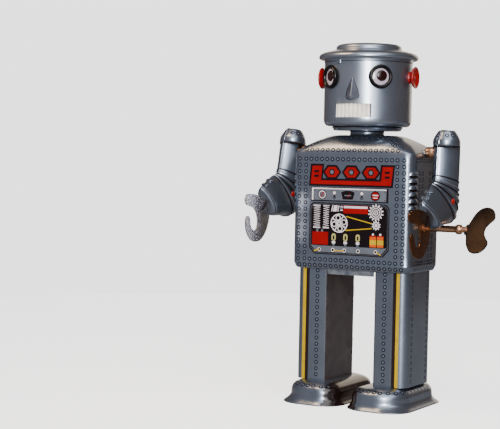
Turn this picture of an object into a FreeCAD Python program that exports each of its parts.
# Wind-up tin robot: lithographed tinplate shells round a spring motor.
# It faces -Y and its left side is +X.  Z = 0 is the plane the feet stand on, X = 0 is its middle plane
# and Y = 0 is the shoulder axis.  Millimetres.
import math
import os

import FreeCAD
import Part
import Sketcher
from FreeCAD import Placement, Rotation, Vector

doc = FreeCAD.newDocument("tin_robot")
sheet = doc.addObject("Spreadsheet::Sheet", "dims")

DIMENSIONS = [
    # shells
    ("tin", 0.6), ("gap", 0.3), ("fit_gap", 0.05),
    # torso
    ("torso_half_width", 50.0), ("torso_half_depth", 27.5), ("torso_middle", 0.9), ("torso_corner", 7.0),
    ("torso_bottom", 103.5), ("torso_bevel", 4.5), ("torso_inset", 2.0), ("torso_wall_top", 191.0),
    ("torso_top", 206.5), ("torso_edge", 1.0), ("key_hole_gap", 0.6),
    # pelvis channel between the legs
    ("pelvis_half_width", 19.6), ("pelvis_lip", 3.8),
    # legs
    ("leg_inner", 20.5), ("leg_outer", 47.0), ("leg_half_depth", 23.6), ("leg_corner", 6.0),
    ("leg_bottom", 17.0), ("leg_top", 118.0), ("hip_height", 111.0), ("hip_axle_radius", 2.0),
    # feet
    ("foot_inner", 2.0), ("foot_outer", 53.0), ("foot_front", -42.5), ("foot_back", 43.5),
    ("foot_flange", 4.0), ("foot_corner", 16.0), ("foot_top", 17.0), ("foot_round", 6.5),
    ("roller_radius", 4.0), ("roller_length", 26.0), ("roller_axle_radius", 1.0),
    ("roller_front", -25.0), ("roller_back", 25.0), ("roller_middle", 28.0),
    # head
    ("head_radius", 33.7), ("head_bottom", 213.0), ("head_top", 265.0), ("brim_radius", 38.2),
    ("lid_radius", 25.0), ("lid_top", 277.0), ("base_ring_radius", 26.2), ("neck_radius", 13.2),
    ("neck_pin_radius", 4.0), ("head_yaw", 5.3), ("eye_angle", 36.0), ("eye_height", 250.0),
    ("eye_radius", 9.0), ("eye_disc_radius", 6.4), ("mouth_height", 224.6), ("mouth_half_height", 5.2),
    ("mouth_half_width", 14.2), ("ear_height", 250.5), ("ear_radius", 8.3), ("ear_reach", 38.6),
    # arms
    ("shoulder_height", 194.0), ("arm_middle", 66.0), ("arm_half_width", 9.0), ("arm_round", 5.0),
    ("cap_radius", 10.3), ("cap_half_width", 10.0), ("cap_base", 200.7), ("shoulder_axle_radius", 2.0),
    ("boss_radius", 4.4), ("right_arm_lead", 11.0), ("claw_thickness", 1.0),
    ("lever_gap", 12.0), ("lever_drop", 24.0),
    # key
    ("key_height", 137.0), ("key_back", 2.0), ("key_stem_radius", 2.6), ("key_stem_end", 79.0),
    ("wing_start", 82.0), ("wing_end", 103.5), ("wing_half_span", 21.0), ("wing_lean", 38.0),
    ("wing_thickness", 1.6), ("lobe_radius", 9.5),
    ("collar_length", 4.0), ("collar_rise", 1.2), ("tang_drop", 0.4),
    # motor
    ("plate_inner", 14.0), ("plate_thickness", 1.0), ("motor_top", 169.0),
    ("motor_front", -23.0), ("motor_back", 20.0), ("arbor_radius", 2.0), ("pivot_radius", 1.0),
    ("crank_back", -12.5), ("crank_height", 128.0), ("crank_throw", 2.6),
    ("great_teeth", 48), ("crank_teeth", 12), ("second_teeth", 36), ("governor_teeth", 10),
    ("governor_module", 0.68), ("governor_back", -16.0), ("escape_teeth", 13), ("escape_module", 0.9),
    ("ratchet_teeth", 16), ("ratchet_module", 0.75), ("train_axle_radius", 1.6), ("disc_radius", 5.2),
    ("disc_thickness", 1.1), ("crank_pin_radius", 0.9), ("pillar_radius", 2.0), ("pallet_drop", 3.0),
]
for row, (alias, value) in enumerate(DIMENSIONS, 1):
    sheet.set(f"A{row}", alias)
    sheet.set(f"B{row}", str(value))
    sheet.setAlias(f"B{row}", alias)
doc.recompute()
SIZE = {alias: float(value) for alias, value in DIMENSIONS}
SIDES = (("left", 1), ("right", -1))
MAX_SUB_PARTS = 60
X_AXIS, Z_AXIS = Vector(1, 0, 0), Vector(0, 0, 1)
ALONG_X = Rotation(Z_AXIS, X_AXIS)
calculator = doc.addObject("Part::Feature", "calculator")
kept = {}


def dim(text):
    """An expression in the sheet's aliases, written without the sheet's name."""
    words = []
    for word in str(text).replace("(", " ( ").replace(")", " ) ").split():
        words.append(f"dims.{word}" if word in SIZE else word)
    return " ".join(words)


def number(text):
    """The value in millimetres of an expression in the sheet's aliases."""
    return float(calculator.evalExpression(dim(text)))


def keep(name, item, place=None):
    """Name a finished sub-part and put it in its place."""
    item.Label = name
    if place is not None:
        item.Placement = place.multiply(item.Placement)
    kept[name] = item
    return item


# ---------------------------------------------------------------- sketches
def origin_plane(body, role):
    return next(item for item in body.Origin.OriginFeatures if item.Role == role)


def new_sketch(body, role, offset=None):
    sketch = body.newObject("Sketcher::SketchObject", "sketch")
    sketch.AttachmentSupport = [(origin_plane(body, role), "")]
    sketch.MapMode = "FlatFace"
    if offset is not None:
        sketch.setExpression("AttachmentOffset.Base.z", dim(offset))
    return sketch


def pin_point(sketch, edge, end, across, up):
    """Hold one end of an edge at sheet distances from the sketch's origin."""
    for kind, text in (("DistanceX", across), ("DistanceY", up)):
        index = sketch.addConstraint(Sketcher.Constraint(kind, -1, 1, edge, end, number(text)))
        sketch.setExpression(f"Constraints[{index}]", dim(text))


def draw_outline(sketch, points):
    """A closed outline of straight runs through sheet-driven points."""
    first = sketch.GeometryCount
    spots = [Vector(number(u), number(v), 0) for u, v in points]
    for start, end in zip(spots, spots[1:] + spots[:1]):
        sketch.addGeometry(Part.LineSegment(start, end))
    for step in range(len(points)):
        following = first + (step + 1) % len(points)
        sketch.addConstraint(Sketcher.Constraint("Coincident", first + step, 2, following, 1))
        pin_point(sketch, first + step, 1, *points[step])


def draw_circle(sketch, radius, across="0", up="0"):
    centre = Vector(number(across), number(up), 0)
    edge = sketch.addGeometry(Part.Circle(centre, Z_AXIS, number(radius)))
    pin_point(sketch, edge, 3, across, up)
    index = sketch.addConstraint(Sketcher.Constraint("Radius", edge, number(radius)))
    sketch.setExpression(f"Constraints[{index}]", dim(radius))


def rectangle(low_u, low_v, high_u, high_v):
    return [(low_u, low_v), (high_u, low_v), (high_u, high_v), (low_u, high_v)]


# ---------------------------------------------------------------- bodies
def new_body():
    return doc.addObject("PartDesign::Body", "body")


def add_pad(body, length, outlines=(), circles=(), role="XY_Plane", offset=None):
    """A pad of closed outlines; circles inside an outline are holes."""
    sketch = new_sketch(body, role, offset)
    for points in outlines:
        draw_outline(sketch, points)
    for circle in circles:
        draw_circle(sketch, *circle)
    feature = body.newObject("PartDesign::Pad", "pad")
    feature.Profile = sketch
    feature.setExpression("Length", dim(length))
    doc.recompute()


def add_turn(body, points):
    """A turned piece about Z from (radius, height) points."""
    sketch = new_sketch(body, "XZ_Plane")
    draw_outline(sketch, points)
    feature = body.newObject("PartDesign::Revolution", "turn")
    feature.Profile = sketch
    feature.ReferenceAxis = (sketch, ["V_Axis"])
    feature.Angle = 360
    doc.recompute()


def add_fillet(body, radius, wanted):
    """Round the edges of the body that the test picks."""
    base = body.Tip
    names = [f"Edge{n}" for n, edge in enumerate(base.Shape.Edges, 1) if wanted(edge)]
    feature = body.newObject("PartDesign::Fillet", "fillet")
    feature.Base = (base, names)
    feature.setExpression("Radius", dim(radius))
    doc.recompute()


def hollow(body, wall, open_face):
    """Thin the solid to a wall, open at the faces that the test picks."""
    base = body.Tip
    names = [f"Face{n}" for n, face in enumerate(base.Shape.Faces, 1) if open_face(face)]
    feature = body.newObject("PartDesign::Thickness", "hollow")
    feature.Base = (base, names)
    feature.setExpression("Value", dim(wall))
    feature.Mode = 0
    feature.Join = 1
    feature.Reversed = True
    doc.recompute()


def runs_along(axis):
    def test(edge):
        if edge.Curve.TypeId != "Part::GeomLine":
            return False
        return abs(edge.Curve.Direction.dot(axis)) > 0.999
    return test


def lies_at(axis, level, tolerance=0.01):
    """Everything whose box is flat on one level along an axis."""
    def test(shape):
        low = Vector(shape.BoundBox.XMin, shape.BoundBox.YMin, shape.BoundBox.ZMin).dot(axis)
        high = Vector(shape.BoundBox.XMax, shape.BoundBox.YMax, shape.BoundBox.ZMax).dot(axis)
        return abs(low - level) < tolerance and abs(high - level) < tolerance
    return test


def turned(name, points, place=None):
    body = new_body()
    add_turn(body, points)
    return keep(name, body, place)


def joined(kind, pieces):
    """A boolean of finished shapes: Part::Cut, Part::Fuse or Part::MultiFuse."""
    item = doc.addObject(kind, "joined")
    if kind == "Part::MultiFuse":
        item.Shapes = pieces
    else:
        item.Base, item.Tool = pieces
    doc.recompute()
    return item


def box_at(low, high):
    """A box between two sheet-driven corners."""
    item = doc.addObject("Part::Box", "box")
    for side, word, start, end in zip("xyz", ("Length", "Width", "Height"), low, high):
        item.setExpression(word, dim(f"({end}) - ({start})"))
        item.setExpression(f"Placement.Base.{side}", dim(start))
    doc.recompute()
    return item


def rod_x(radius, start, end, back="0", height="0"):
    """A round rod along X."""
    item = doc.addObject("Part::Cylinder", "rod")
    item.Placement = Placement(Vector(number(start), number(back), number(height)), ALONG_X)
    item.setExpression("Radius", dim(radius))
    item.setExpression("Height", dim(f"({end}) - ({start})"))
    item.setExpression("Placement.Base.x", dim(start))
    item.setExpression("Placement.Base.y", dim(back))
    item.setExpression("Placement.Base.z", dim(height))
    doc.recompute()
    return item


def span(side, near, far):
    """X limits in rising order for the left (+1) or right (-1) side."""
    return (near, far) if side > 0 else (f"0 - ({far})", f"0 - ({near})")


def side_rod(side, radius, near, far, back="0", height="0"):
    return rod_x(radius, *span(side, near, far), back, height)


def side_box(side, near, far, low_y, high_y, low_z, high_z):
    low_x, high_x = span(side, near, far)
    return box_at((low_x, low_y, low_z), (high_x, high_y, high_z))


# ---------------------------------------------------------------- torso
# the hipped roof above the wall: inset from the sides, inset from the front and back, height
ROOF_RINGS = [(7.3, 5.0, 198.4), (15.0, 9.4, 203.0), (24.0, 14.0, SIZE["torso_top"])]


def torso_outline(inset):
    """Half width and half depth of the torso's rounded rectangle, drawn in by an inset."""
    return SIZE["torso_half_width"] - inset, SIZE["torso_half_depth"] - inset


def rounded_wire(half_x, half_y, corner, height):
    """A rounded rectangle on one level, centred on the torso's middle."""
    middle = Vector(0, SIZE["torso_middle"], height)
    quarter = math.sqrt(0.5)
    edges = []
    for turn_x, turn_y in ((1, 1), (-1, 1), (-1, -1), (1, -1)):
        centre = middle + Vector(turn_x * (half_x - corner), turn_y * (half_y - corner), 0)
        ends = [centre + Vector(turn_x * corner, 0, 0), centre + Vector(0, turn_y * corner, 0)]
        if turn_x * turn_y < 0:
            ends.reverse()
        bend = centre + Vector(turn_x * corner * quarter, turn_y * corner * quarter, 0)
        if edges:
            edges.append(Part.LineSegment(edges[-1].EndPoint, ends[0]))
        edges.append(Part.Arc(ends[0], bend, ends[1]))
    edges.append(Part.LineSegment(edges[-1].EndPoint, edges[0].StartPoint))
    return Part.Wire([edge.toShape() for edge in edges])


def torso_solid(wall):
    """The torso's outer solid, or with a wall its hollow: bevel, straight wall and soft hipped roof."""
    corner = SIZE["torso_corner"] - wall
    side_x, side_y = torso_outline(wall)
    foot_x, foot_y = torso_outline(SIZE["torso_inset"] + wall)
    straight = SIZE["torso_bottom"] + SIZE["torso_bevel"]
    overrun = 0.01 if wall else 0
    lower = [rounded_wire(foot_x, foot_y, corner, SIZE["torso_bottom"] - overrun),
             rounded_wire(side_x, side_y, corner, straight),
             rounded_wire(side_x, side_y, corner, SIZE["torso_wall_top"])]
    upper = [lower[-1]] + [rounded_wire(side_x - in_x, side_y - in_y, corner, level - wall)
                           for in_x, in_y, level in ROOF_RINGS]
    return Part.makeLoft(lower, True, True).fuse(Part.makeLoft(upper, True, True)).removeSplitter()


def slab(low, high):
    return Part.makeBox(high[0] - low[0], high[1] - low[1], high[2] - low[2], Vector(*low))


def bore_x(radius, start, end, back, height):
    return Part.makeCylinder(radius, end - start, Vector(start, back, height), X_AXIS)


def make_torso():
    """Front, sides and roof are one drawn shell; a flat plate closes the back."""
    tin, middle = SIZE["tin"], SIZE["torso_middle"]
    shell = torso_solid(0).cut(torso_solid(tin))
    back = middle + SIZE["torso_half_depth"] - tin
    straight = SIZE["torso_bottom"] + SIZE["torso_bevel"]
    window = SIZE["torso_half_width"] - SIZE["torso_corner"]
    edge = SIZE["torso_edge"]
    half_width, reach = SIZE["torso_half_width"], 10.0
    opening = slab((-window, back - reach / 2, straight + edge),
                   (window, back + reach / 2, SIZE["torso_wall_top"] - 2 * edge))
    shell = shell.cut(opening)
    for side in (1, -1):
        ends = sorted((side * (half_width - reach), side * (half_width + reach)))
        shell = shell.cut(bore_x(SIZE["shoulder_axle_radius"] + SIZE["fit_gap"], *ends, 0,
                                 SIZE["shoulder_height"]))
    shell = shell.cut(bore_x(SIZE["key_stem_radius"] + SIZE["key_hole_gap"], half_width - reach,
                             half_width + reach, SIZE["key_back"], SIZE["key_height"]))
    shell = shell.cut(Part.makeCylinder(SIZE["neck_pin_radius"] + SIZE["fit_gap"], reach,
                                        Vector(0, 0, SIZE["torso_top"] - reach / 2)))
    feature_of("torso_shell", shell)

    body = new_body()
    add_pad(body, "tin", [rectangle("gap - torso_half_width + torso_corner",
                                    "torso_bottom + torso_bevel + torso_edge + gap",
                                    "torso_half_width - torso_corner - gap",
                                    "torso_wall_top - 2 * torso_edge - gap")], role="XZ_Plane")
    keep("torso_back_plate", body, Placement(Vector(0, back + tin, 0), Rotation()))


def make_pelvis():
    """A folded channel between the legs, with lips down at the front and the back."""
    depth = "torso_half_depth - torso_inset - tin - gap"
    bottom = "torso_bottom - tin"
    low_y, high_y = f"torso_middle - ({depth})", f"torso_middle + ({depth})"
    web = box_at(("0 - pelvis_half_width", low_y, bottom), ("pelvis_half_width", high_y, "torso_bottom"))
    lips = [box_at(("0 - pelvis_half_width", start, "torso_bottom - pelvis_lip"),
                   ("pelvis_half_width", end, bottom))
            for start, end in ((low_y, f"{low_y} + tin"), (f"{high_y} - tin", high_y))]
    keep("pelvis_channel", joined("Part::MultiFuse", [web] + lips))


# ---------------------------------------------------------------- motor
# the pillars between the motor plates: Y and Z
PILLARS = [("0 - 20.5", "108.5"), ("17.5", "108.5"), ("17.5", "165"), ("0 - 6", "166")]
PALLET_RISE = 10.5


def make_motor_frame():
    """Two side plates held apart by pillars, standing on the pelvis channel."""
    outer = "plate_inner + plate_thickness"
    holes = [("arbor_radius + fit_gap", "key_back", "key_height"),
             ("hip_axle_radius", "torso_middle", "hip_height"),
             ("pivot_radius + fit_gap", "crank_back", "crank_height"),
             ("pivot_radius + fit_gap", "governor_back", governor_height()),
             ("pivot_radius + fit_gap", "governor_back", pallet_height())]
    for label, side in SIDES:
        body = new_body()
        add_pad(body, "plate_thickness",
                [rectangle("motor_front", "torso_bottom", "motor_back", "motor_top")], holes,
                role="YZ_Plane", offset="plate_inner" if side > 0 else f"0 - ({outer})")
        add_fillet(body, "3", lambda edge: runs_along(X_AXIS)(edge)
                   and edge.CenterOfMass.z > SIZE["key_height"])
        keep(f"motor_plate_{label}", body)
    posts = [rod_x("pillar_radius", "0 - plate_inner", "plate_inner", back, height)
             for back, height in PILLARS]
    keep("motor_pillars", joined("Part::MultiFuse", posts))
    keep("hip_axle", rod_x("hip_axle_radius", "0 - leg_outer + tin + gap", "leg_outer - tin - gap",
                           "torso_middle", "hip_height"))


def train_module():
    """Module of the great wheel and crank pinion, from their distance apart."""
    reach = math.hypot(SIZE["key_back"] - SIZE["crank_back"], SIZE["key_height"] - SIZE["crank_height"])
    return 2 * reach / (SIZE["great_teeth"] + SIZE["crank_teeth"])


def governor_height():
    reach = SIZE["governor_module"] * (SIZE["second_teeth"] + SIZE["governor_teeth"]) / 2
    return SIZE["crank_height"] + math.sqrt(reach**2 - (SIZE["governor_back"] - SIZE["crank_back"])**2)


def pallet_height():
    return governor_height() + PALLET_RISE


def gear_shape(teeth, module, start, width, bore, centre, phase):
    """A spur gear along X: a root disc with tapered teeth, its first tooth at the phase angle."""
    pitch = teeth * module / 2
    root, tip = pitch - 1.15 * module, pitch + 0.85 * module
    step = 2 * math.pi / teeth
    # radius and half width, as a share of the tooth spacing: below the root, at the pitch, at the tip
    flank = [(root - 0.2, 0.30), (pitch, 0.205), (tip, 0.11)]
    outline = [(radius, -share * step) for radius, share in flank]
    outline += [(radius, share * step) for radius, share in reversed(flank)]
    cogs = []
    for count in range(int(teeth)):
        turn = phase + count * step
        spots = [Vector(radius * math.cos(turn + angle), radius * math.sin(turn + angle), 0)
                 for radius, angle in outline]
        cogs.append(Part.Face(Part.makePolygon(spots + spots[:1])).extrude(Vector(0, 0, width)))
    wheel = Part.makeCylinder(root, width).multiFuse(cogs)
    wheel = wheel.cut(Part.makeCylinder(bore, width + 2, Vector(0, 0, -1)))
    # local x, y, z become Y, Z, X
    frame = FreeCAD.Matrix(0, 0, 1, start, 1, 0, 0, centre[0], 0, 1, 0, centre[1], 0, 0, 0, 1)
    return wheel.removeSplitter().transformGeometry(frame)


def feature_in(shape):
    item = doc.addObject("Part::Feature", "shaped")
    item.Shape = shape
    return item


def feature_of(name, shape):
    return keep(name, feature_in(shape))


def spiral_shape(inner, outer, turns, thickness, start, width, centre):
    """A flat coiled strip along X, its edges two matching spirals."""
    steps_a_turn = 12

    def edge(offset):
        count = turns * steps_a_turn
        spots = []
        for step in range(count + 1):
            radius = inner + offset + (outer - inner) * step / count
            angle = 2 * math.pi * turns * step / count
            spots.append(Vector(start, centre[0] + radius * math.cos(angle),
                                centre[1] + radius * math.sin(angle)))
        curve = Part.BSplineCurve()
        curve.interpolate(spots)
        return curve.toShape()
    near, far = edge(0), edge(thickness)
    caps = [Part.LineSegment(near.Vertexes[end].Point, far.Vertexes[end].Point).toShape()
            for end in (0, 1)]
    return Part.Face(Part.Wire([near, caps[1], far, caps[0]])).extrude(Vector(width, 0, 0))


def make_train():
    """Great wheel loose on the arbor, crank axle with pinion and wheel, governor with its wheel."""
    arbor = (SIZE["key_back"], SIZE["key_height"])
    crank = (SIZE["crank_back"], SIZE["crank_height"])
    governor = (SIZE["governor_back"], governor_height())
    inner = SIZE["plate_inner"]
    toward_crank = math.atan2(crank[1] - arbor[1], crank[0] - arbor[0])
    toward_governor = math.atan2(governor[1] - crank[1], governor[0] - crank[0])
    great = gear_shape(SIZE["great_teeth"], train_module(), inner - 4.5, 1.2,
                       SIZE["arbor_radius"] + SIZE["fit_gap"], arbor, toward_crank)
    feature_of("great_wheel", great)
    half_tooth = math.pi / SIZE["crank_teeth"]
    pinion = gear_shape(SIZE["crank_teeth"], train_module(), inner - 5.5, 3.2,
                        SIZE["train_axle_radius"], crank, toward_crank + math.pi + half_tooth)
    feature_of("crank_pinion", pinion)
    second = gear_shape(SIZE["second_teeth"], SIZE["governor_module"], 2.0, 1.0,
                        SIZE["train_axle_radius"], crank, toward_governor)
    feature_of("second_wheel", second)
    small = gear_shape(SIZE["governor_teeth"], SIZE["governor_module"], 1.4, 2.2, SIZE["pivot_radius"],
                       governor, toward_governor + math.pi + math.pi / SIZE["governor_teeth"])
    feature_of("governor_pinion", small)
    escape = gear_shape(SIZE["escape_teeth"], SIZE["escape_module"], 4.5, 1.0, SIZE["pivot_radius"],
                        governor, 0.1)
    feature_of("governor_wheel", escape)
    ratchet = gear_shape(SIZE["ratchet_teeth"], SIZE["ratchet_module"], inner - 7.2, 1.6,
                         SIZE["arbor_radius"], arbor, 0)
    feature_of("ratchet_wheel", ratchet)
    spring = spiral_shape(3.2, 14.0, 8, 0.45, -11.5, 12.0, arbor)
    feature_of("mainspring", spring)
    make_crank_axle()
    make_governor_parts()
    make_click()


def make_crank_axle():
    """The crank shaft with a disc and an offset pin at each end, half a turn apart."""
    disc_start = "plate_inner + plate_thickness + 0.5"
    disc_end = f"{disc_start} + disc_thickness"
    axle = [rod_x("train_axle_radius", "0 - plate_inner + 0.5", "plate_inner - 0.5", "crank_back",
                  "crank_height"),
            rod_x("pivot_radius", f"0 - ({disc_end})", disc_end, "crank_back", "crank_height")]
    for _, side in SIDES:
        throw = f"crank_back + {side} * crank_throw"
        axle.append(side_rod(side, "disc_radius", disc_start, disc_end, "crank_back", "crank_height"))
        axle.append(side_rod(side, "crank_pin_radius", disc_end, f"{disc_end} + 1", throw,
                             "crank_height"))
    keep("crank_axle", joined("Part::MultiFuse", axle))


def make_governor_parts():
    """The governor's staff, and above it the pallet that rocks over its wheel."""
    outside = "plate_inner + plate_thickness"
    keep("governor_axle", rod_x("pivot_radius", f"0 - {outside} - 0.6", f"{outside} + 0.6",
                                "governor_back", governor_height()))

    staff = rod_x("pivot_radius", f"0 - {outside} - 0.6", f"{outside} + 0.6", "governor_back",
                  pallet_height())
    low = f"{pallet_height()} - pallet_drop"
    rocker = box_at(("4.5", "governor_back - 6", low), ("5.5", "governor_back + 6", f"{low} + 5"))
    weight = box_at(("2", "governor_back - 2.5", pallet_height() + 1.5),
                    ("8", "governor_back + 2.5", pallet_height() + 4.5))
    hub = rod_x("1.8", "3.5", "6.5", "governor_back", pallet_height())
    keep("governor_pallet", joined("Part::MultiFuse", [staff, rocker, weight, hub]))


def make_click():
    """A springy strip riveted to the great wheel, its tip over the ratchet."""
    post = rod_x("1.1", "plate_inner - 7", "plate_inner - 4.5", "key_back + 11", "key_height")
    blade = box_at(("plate_inner - 6.8", "key_back + 1.5", "key_height + 7.3"),
                   ("plate_inner - 6.0", "key_back + 11.6", "key_height + 8.1"))
    leg = box_at(("plate_inner - 6.8", "key_back + 10.6", "key_height - 0.5"),
                 ("plate_inner - 6.0", "key_back + 11.6", "key_height + 8.1"))
    keep("click_spring", joined("Part::MultiFuse", [post, blade, leg]))


def make_key():
    """Arbor, stem with its collar and a two-lobed wing."""
    keep("winding_arbor", rod_x("arbor_radius", "0 - plate_inner - 2", "torso_half_width - 8",
                                "key_back", "key_height"))
    collar = "key_stem_end - collar_length"
    stem = [rod_x("key_stem_radius", "torso_half_width - 8", collar, "key_back", "key_height"),
            rod_x("key_stem_radius + collar_rise", collar, "key_stem_end", "key_back", "key_height"),
            rod_x("key_stem_radius - tang_drop", "key_stem_end", "wing_start + 4", "key_back",
                  "key_height")]
    keep("key_stem", joined("Part::MultiFuse", stem))

    body = new_body()
    under = "0 - wing_thickness / 2"
    shoulder = "wing_end - wing_start - 8"
    sweep = [("0", "0 - 4"), (shoulder, "0 - 5"), (shoulder, "5"), ("0", "4")]
    add_pad(body, "wing_thickness", [sweep], offset=under)
    for sign in ("", "0 - "):
        lobe = ("lobe_radius", "wing_end - wing_start - lobe_radius - 1",
                f"{sign}(wing_half_span - lobe_radius)")
        add_pad(body, "wing_thickness", circles=[lobe], offset=under)
    place = Placement(Vector(SIZE["wing_start"], SIZE["key_back"], SIZE["key_height"]),
                      Rotation(X_AXIS, 90 - SIZE["wing_lean"]))
    wing = joined("Part::Cut", (placed(body, place),
                                rod_x("key_stem_radius - tang_drop", "wing_start - 1", "wing_start + 4",
                                      "key_back", "key_height")))
    keep("key_wing", wing)


def placed(item, place):
    item.Placement = place.multiply(item.Placement)
    doc.recompute()
    return item


# ---------------------------------------------------------------- legs and feet
# the leg lever from the hip up past the crank: Y and Z
LEVER_OUTLINE = [("torso_middle - 5", "torso_bottom + 3"), ("torso_middle + 5", "torso_bottom + 3"),
                 ("torso_middle + 5", "115"), ("0 - 10", "131"), ("0 - 10", "155"), ("0 - 15", "159"),
                 ("0 - 20", "155"), ("0 - 23", "131"), ("0 - 21", "121")]
TAB_LEVELS = (42, 83)


def make_leg(label, side):
    """A channel shell closed by an inner plate, on a domed foot with two rollers."""
    low_y, high_y = "torso_middle - leg_half_depth", "torso_middle + leg_half_depth"
    body = new_body()
    near, far = span(side, "leg_inner + tin", "leg_outer")
    add_pad(body, "leg_top - leg_bottom", [rectangle(near, low_y, far, high_y)], offset="leg_bottom")
    outer = SIZE["leg_outer"] * side
    add_fillet(body, "leg_corner", lambda edge: runs_along(Z_AXIS)(edge)
               and abs(edge.CenterOfMass.x - outer) < 0.01)
    inner = (SIZE["leg_inner"] + SIZE["tin"]) * side
    hollow(body, "tin", lambda face: lies_at(X_AXIS, inner)(face)
           or lies_at(Z_AXIS, SIZE["leg_bottom"])(face))
    keep(f"{label}_leg_shell", body)

    plate = side_box(side, "leg_inner", "leg_inner + tin", low_y, high_y, "leg_bottom", "leg_top")
    hole = side_rod(side, "hip_axle_radius + fit_gap", "leg_inner - 1", "leg_inner + 2",
                    "torso_middle", "hip_height")
    tabs = [side_box(side, "leg_inner - 0.4", "leg_inner", f"{high_y} - 4.5", f"{high_y} - 0.5",
                     f"{level} - 4", f"{level} + 4") for level in TAB_LEVELS]
    plate = joined("Part::Cut", (plate, hole))
    keep(f"{label}_leg_inner_plate", joined("Part::MultiFuse", [plate] + tabs))

    # lever: riveted inside the inner plate, up to the crank and the arm
    place = span(side, "plate_inner + plate_thickness + 3", "plate_inner + plate_thickness + 4")
    body = new_body()
    add_pad(body, "1", [LEVER_OUTLINE], [("hip_axle_radius + fit_gap", "torso_middle", "hip_height")],
            role="YZ_Plane", offset=place[0])
    spacer = side_rod(side, "4.5", "plate_inner + plate_thickness + 4", "leg_inner", "torso_middle",
                      "hip_height")
    bore = side_rod(side, "hip_axle_radius + fit_gap", "plate_inner", "leg_inner + 1",
                    "torso_middle", "hip_height")
    keep(f"{label}_leg_lever", joined("Part::Fuse", (body, joined("Part::Cut", (spacer, bore)))))


def foot_rectangle(side, inset):
    """The foot's outline on the floor, drawn in by an inset."""
    near, far = span(side, f"foot_inner + ({inset})", f"foot_outer - ({inset})")
    return rectangle(near, f"foot_front + ({inset})", far, f"foot_back - ({inset})")


def make_foot(label, side):
    """A drawn dome with a flat flange, a sole plate with roller bearings, and two rollers."""
    dome = new_body()
    add_pad(dome, "foot_top", [foot_rectangle(side, "foot_flange")])
    add_fillet(dome, "foot_corner - foot_flange", runs_along(Z_AXIS))
    add_fillet(dome, "foot_round", lies_at(Z_AXIS, SIZE["foot_top"]))
    hollow(dome, "tin", lies_at(Z_AXIS, 0.0))
    rim = new_body()
    add_pad(rim, "tin", [foot_rectangle(side, "0")])
    add_fillet(rim, "foot_corner", runs_along(Z_AXIS))
    hole = new_body()
    add_pad(hole, "2 * tin", [foot_rectangle(side, "foot_flange + tin / 2")], offset="0 - tin / 2")
    add_fillet(hole, "foot_corner - foot_flange - tin / 2", runs_along(Z_AXIS))
    keep(f"{label}_foot_shell", joined("Part::Fuse", (dome, joined("Part::Cut", (rim, hole)))))

    # sole plate with four ears that hold the roller axles
    half = "roller_length / 2"
    sole = new_body()
    slots = []
    for middle in ("roller_front", "roller_back"):
        slot_near, slot_far = span(side, f"roller_middle - {half} - 1", f"roller_middle + {half} + 1")
        slots.append(rectangle(slot_near, f"{middle} - roller_radius - 1",
                               slot_far, f"{middle} + roller_radius + 1"))
    add_pad(sole, "tin", [foot_rectangle(side, "foot_flange + tin + gap")] + slots, offset="tin / 2")
    ears, axles = [], []
    for middle in ("roller_front", "roller_back"):
        for start in (f"roller_middle - {half} - 2", f"roller_middle + {half} + 1"):
            ears.append(side_box(side, start, f"{start} + 1", f"{middle} - 3", f"{middle} + 3",
                                 "tin", "roller_radius + 3"))
        axles.append(side_rod(side, "roller_axle_radius", f"roller_middle - {half} - 2.6",
                              f"roller_middle + {half} + 2.6", middle, "roller_radius"))
    corner_cut = "foot_corner - foot_flange - tin - gap"
    add_fillet(sole, corner_cut, lambda edge: runs_along(Z_AXIS)(edge)
               and (abs(edge.CenterOfMass.y - SIZE["foot_front"]) < 6
                    or abs(edge.CenterOfMass.y - SIZE["foot_back"]) < 6))
    plate = joined("Part::MultiFuse", [sole] + ears)
    drills = joined("Part::MultiFuse", [side_rod(side, "roller_axle_radius", f"roller_middle - {half} - 4",
                                                 f"roller_middle + {half} + 4", middle, "roller_radius")
                                        for middle in ("roller_front", "roller_back")])
    keep(f"{label}_sole_plate", joined("Part::Cut", (plate, drills)))
    keep(f"{label}_roller_axles", joined("Part::MultiFuse", axles))

    for word, middle in (("front", "roller_front"), ("back", "roller_back")):
        drum = side_rod(side, "roller_radius", f"roller_middle - {half}", f"roller_middle + {half}",
                        middle, "roller_radius")
        bore = side_rod(side, "roller_axle_radius + fit_gap", f"roller_middle - {half} - 1",
                        f"roller_middle + {half} + 1", middle, "roller_radius")
        keep(f"{label}_{word}_roller", joined("Part::Cut", (drum, bore)))


# ---------------------------------------------------------------- arms
ARM_OUTLINE = [("9.3", "201"), ("8.6", "165"), ("8", "146"), ("0 - 1", "140.2"), ("0 - 23.9", "138.4"),
               ("0 - 37.9", "157"), ("0 - 20.5", "170.5"), ("0 - 10.5", "181"), ("0 - 9.3", "201")]
ARM_SPINE = 0.05


def arm_solid(inset, start, direction):
    """One half of the arm from its middle plane outwards, drawn in by an inset, its edges rounded."""
    spots = [Vector(start, number(back), number(height)) for back, height in ARM_OUTLINE]
    face = Part.Face(Part.makePolygon(spots + spots[:1]))
    if inset:
        face = Part.Face(face.makeOffset2D(-inset, 2).Wires[0])
    length = SIZE["arm_half_width"] - ARM_SPINE - inset
    solid = face.extrude(Vector(length * direction, 0, 0))
    corners = [edge for edge in solid.Edges if runs_along(X_AXIS)(edge) and edge.CenterOfMass.z < 167]
    solid = solid.makeFillet(3 - inset, corners)
    rim = [edge for edge in solid.Edges if lies_at(X_AXIS, start + length * direction)(edge)]
    return solid.makeFillet(SIZE["arm_round"] - inset, rim)


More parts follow.
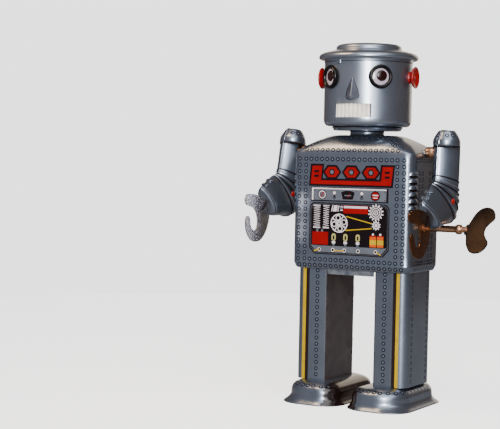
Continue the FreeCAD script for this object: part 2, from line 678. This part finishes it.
def make_arm(label, side):
    """Two stamped halves crimped on the middle plane, a domed cap on top and a flat hooked claw."""
    tilt = 0 if side > 0 else -SIZE["right_arm_lead"]
    pivot = Vector(0, 0, SIZE["shoulder_height"])
    swing = Placement(Vector(), Rotation(X_AXIS, tilt), pivot)
    middle = SIZE["arm_middle"] * side
    tin = SIZE["tin"]
    for word, outward in (("outer", 1), ("inner", -1)):
        direction = side * outward
        start = middle + ARM_SPINE * direction
        shell = arm_solid(0, start, direction).cut(arm_solid(tin, start, direction))
        half_space = slab((min(start, start + 20 * direction), -20, SIZE["cap_base"]),
                          (max(start, start + 20 * direction), 20, SIZE["cap_base"] + 20))
        cap_middle = Vector(middle, 0, SIZE["cap_base"])
        inside = Part.makeSphere(SIZE["cap_radius"] - tin, cap_middle)
        cap = Part.makeSphere(SIZE["cap_radius"], cap_middle).cut(inside)
        shell = shell.fuse(cap.common(half_space))
        claw_half = SIZE["claw_thickness"] / 2
        shell = shell.cut(slab((middle - claw_half, -40, 137), (middle + claw_half, -22, 161)))
        if outward < 0:
            ends = sorted((middle, middle + direction * 12))
            shell = shell.cut(bore_x(SIZE["shoulder_axle_radius"], *ends, 0, SIZE["shoulder_height"]))
        keep(f"{label}_arm_{word}_half", feature_in(shell), swing)
    make_claw(label, side, swing)

    axle = side_rod(side, "shoulder_axle_radius", "torso_half_width - lever_gap", "arm_middle - 0.5", "0",
                    "shoulder_height")
    keep(f"{label}_shoulder_axle", axle, swing)
    boss = side_rod(side, "boss_radius", "torso_half_width + gap", "arm_middle - arm_half_width", "0",
                    "shoulder_height")
    hole = side_rod(side, "shoulder_axle_radius", "torso_half_width - 1", "arm_middle", "0",
                    "shoulder_height")
    keep(f"{label}_shoulder_boss", joined("Part::Cut", (boss, hole)), swing)
    lever_start = "torso_half_width - lever_gap"
    lever = side_box(side, lever_start, f"{lever_start} + 1", "0 - 3", "3",
                     "shoulder_height - lever_drop", "shoulder_height + 3")
    hole = side_rod(side, "shoulder_axle_radius", f"{lever_start} - 1", f"{lever_start} + 2", "0",
                    "shoulder_height")
    keep(f"{label}_arm_lever", joined("Part::Cut", (lever, hole)), swing)


# the claw from the middle of its ring, Y and Z: the ring's hole, its mouth and the straight finger above
CLAW_MIDDLE, CLAW_OUTER, CLAW_INNER = (-46.5, 134.5), 18.6, 9.6
CLAW_HOLE = (-2.5, 1.5)
CLAW_MOUTH = [(-2, 1), (-30, 14), (-30, 0)]
CLAW_FINGER = [(2, 19.2), (-16.5, 19.6), (-19.5, 16.5), (-17.5, 13.4), (-9, 9), (6, 7), (17, 5), (16, 19)]


def make_claw(label, side, swing):
    """A flat hooked plate on the arm's middle plane, open to the front."""
    thickness = SIZE["claw_thickness"]
    start = Vector(SIZE["arm_middle"] * side - thickness / 2, *CLAW_MIDDLE)

    def cut_out(outline, overrun):
        spots = [start + Vector(-overrun, *spot) for spot in outline]
        return Part.Face(Part.makePolygon(spots + spots[:1])).extrude(Vector(thickness + 2 * overrun, 0, 0))

    ring = Part.makeCylinder(CLAW_OUTER, thickness, start, X_AXIS)
    hole = Part.makeCylinder(CLAW_INNER, thickness + 2, start + Vector(-1, *CLAW_HOLE), X_AXIS)
    mouth, thumb = cut_out(CLAW_MOUTH, 1), cut_out(CLAW_FINGER, 0)
    shape = ring.cut(hole).cut(mouth).fuse(thumb).cut(hole).removeSplitter()
    keep(f"{label}_claw", feature_in(shape), swing)


# ---------------------------------------------------------------- head
def around_head(angle, radius, height):
    """A frame at an angle from the face's middle, its own Z pointing straight out."""
    turn = math.radians(angle + SIZE["head_yaw"])
    outward = Vector(math.sin(turn), -math.cos(turn), 0)
    return Placement(outward * radius + Vector(0, 0, height),
                     Rotation(Vector(-outward.y, outward.x, 0), Z_AXIS, outward, "ZXY"))


def nose_solid():
    """A lanced three-sided nose standing out of the can's front."""
    front = -SIZE["head_radius"]
    half_width, base, peak = 4.7, 233.0, 249.0
    corners = [Vector(-half_width, front + 0.5, base), Vector(half_width, front + 0.5, base),
               Vector(0, front + 0.1, peak)]
    ridge = Vector(0, front - 4.2, 234.5)
    faces = [Part.Face(Part.makePolygon(corners + corners[:1]))]
    for start, end in zip(corners, corners[1:] + corners[:1]):
        faces.append(Part.Face(Part.makePolygon([start, end, ridge, start])))
    return Part.Solid(Part.Shell(faces))


def make_head():
    """A spun can with a brimmed lid, pressed face parts and plug-in ears, on a tabbed neck."""
    yaw = Placement(Vector(), Rotation(Z_AXIS, SIZE["head_yaw"]))
    wall = "head_radius - tin"
    can = new_body()
    add_turn(can, [("base_ring_radius - 6", "head_bottom"), ("head_radius - 3", "head_bottom"),
                   ("head_radius", "head_bottom + 3"), ("head_radius", "head_top - 1.5"),
                   (wall, "head_top - 1.5"), (wall, "head_bottom + 3 + tin"),
                   (f"{wall} - 2.6", "head_bottom + tin"), ("base_ring_radius - 6", "head_bottom + tin")])
    cutters = [box_at(("0 - mouth_half_width", "0 - head_radius - 1", "mouth_height - mouth_half_height"),
                      ("mouth_half_width", "0 - 20", "mouth_height + mouth_half_height"))]
    for sign in (1, -1):
        for angle, height, radius in ((SIZE["eye_angle"], "eye_height", "eye_disc_radius + 1"),
                                      (90, "ear_height", "2.5")):
            turn = math.radians(sign * angle)
            hole = doc.addObject("Part::Cylinder", "hole")
            hole.setExpression("Radius", dim(radius))
            hole.Height = 20
            outward = Vector(math.sin(turn), -math.cos(turn), 0)
            hole.Placement = Placement(outward * 25 + Vector(0, 0, SIZE[height]), Rotation(Z_AXIS, outward))
            cutters.append(hole)
    can = joined("Part::Cut", (can, joined("Part::MultiFuse", cutters)))
    keep("head_can", joined("Part::Fuse", (can, feature_in(nose_solid()))), yaw)

    turned("head_lid", [("0", "lid_top - tin"), ("0", "lid_top"), ("lid_radius - 1.5", "lid_top"),
                        ("lid_radius", "lid_top - 1.5"), ("lid_radius", "head_top + 5"),
                        ("brim_radius - 1.2", "head_top + 1.6"), ("brim_radius", "head_top + 0.6"),
                        ("brim_radius", "head_top - 1"), ("brim_radius - 1.2", "head_top - 1.5"),
                        ("brim_radius - 2", "head_top - 0.4"), ("head_radius - 1.2", "head_top"),
                        ("head_radius - 1.2", "head_top - 4"), ("head_radius - 1.8", "head_top - 4"),
                        ("head_radius - 1.8", "head_top + 1"), ("lid_radius - 0.6", "head_top + 4"),
                        ("lid_radius - 0.6", "lid_top - 1.9"), ("lid_radius - 1.9", "lid_top - tin")], yaw)
    turned("neck_collar", [("neck_pin_radius + 1", "torso_top + gap"), ("neck_radius", "torso_top + gap"),
                           ("neck_radius", "head_bottom - 3.5"),
                           ("base_ring_radius - 1", "head_bottom - 3.5"),
                           ("base_ring_radius", "head_bottom - 2.5"), ("base_ring_radius", "head_bottom"),
                           ("neck_pin_radius + 1", "head_bottom")], yaw)
    turned("neck_stud", [("0", "torso_top - 3.5"), ("neck_pin_radius + 3", "torso_top - 3.5"),
                         ("neck_pin_radius + 3", "torso_top - 1"), ("neck_pin_radius", "torso_top - 1"),
                         ("neck_pin_radius", "head_bottom + tin"),
                         ("neck_pin_radius + 2.5", "head_bottom + tin"),
                         ("neck_pin_radius + 2.5", "head_bottom + 2"), ("0", "head_bottom + 2")], yaw)

    for label, sign in SIDES:
        at_eye = around_head(sign * SIZE["eye_angle"], SIZE["head_radius"] - 2.2, SIZE["eye_height"])
        turned(f"{label}_eye_bezel", [("eye_disc_radius", "0.5"), ("eye_disc_radius + 0.7", "0"),
                                      ("eye_disc_radius + 0.7", "2.3"), ("eye_radius", "2.5"),
                                      ("eye_radius - 1", "4.4"), ("eye_disc_radius", "3.6")], at_eye)
        turned(f"{label}_eye_disc", [("0", "0.5"), ("eye_disc_radius", "0.5"), ("eye_disc_radius", "1.6"),
                                     ("0", "2.6")], at_eye)
        at_ear = around_head(sign * 90, SIZE["head_radius"], SIZE["ear_height"])
        reach = "ear_reach - head_radius"
        turned(f"{label}_ear", [("0", "0 - 3"), ("2.4", "0 - 3"), ("2.4", "0"), ("4.2", "0"),
                                ("3.4", "1.6"), ("4.6", "2.6"), ("ear_radius", f"{reach} - 1.6"),
                                ("ear_radius", reach), ("4", f"{reach} - 1"), ("3", f"{reach} - 2"),
                                ("0", f"{reach} - 2")], at_ear)
    make_teeth(yaw)


def make_teeth(yaw):
    """A flat plate behind the mouth with a row of bars that follow the can's curve."""
    back = "0 - head_radius + 4.8"
    plate = box_at(("0 - mouth_half_width - 1", back, "mouth_height - mouth_half_height - 2"),
                   ("mouth_half_width + 1", f"{back} + 0.8", "mouth_height + mouth_half_height + 2"))
    bars = []
    count, slit = 8, 0.5
    half = SIZE["mouth_half_width"] - SIZE["tin"]
    curve = SIZE["head_radius"] - 2 * SIZE["tin"]
    pitch = 2 * half / count
    for step in range(count):
        start = -half + step * pitch + slit / 2
        end = start + pitch - slit
        depth = math.sqrt(curve**2 - max(abs(start), abs(end))**2)
        bars.append(box_at((f"{start:.4f}", f"{-depth:.4f}", "mouth_height - mouth_half_height + tin"),
                           (f"{end:.4f}", back, "mouth_height + mouth_half_height - tin")))
    keep("teeth_plate", joined("Part::MultiFuse", [plate] + bars), yaw)


make_torso()
make_pelvis()
make_motor_frame()
make_train()
make_key()
for label, side in SIDES:
    make_leg(label, side)
    make_foot(label, side)
    make_arm(label, side)
make_head()

doc.recompute()
faults = [f"{item.Label}: {item.State}" for item in doc.Objects
          if "Invalid" in item.State or "Error" in item.State]
for name, item in kept.items():
    if item.Shape.isNull() or not item.Shape.isValid() or not item.Shape.Solids:
        faults.append(f"{name}: bad shape")
if faults:
    raise RuntimeError("; ".join(faults))
if len(kept) > MAX_SUB_PARTS:
    raise RuntimeError(f"{len(kept)} sub-parts")
os.makedirs("parts", exist_ok=True)
for name, item in kept.items():
    item.Shape.exportStep(f"parts/{name}.step")
print(len(kept), "sub-parts written")
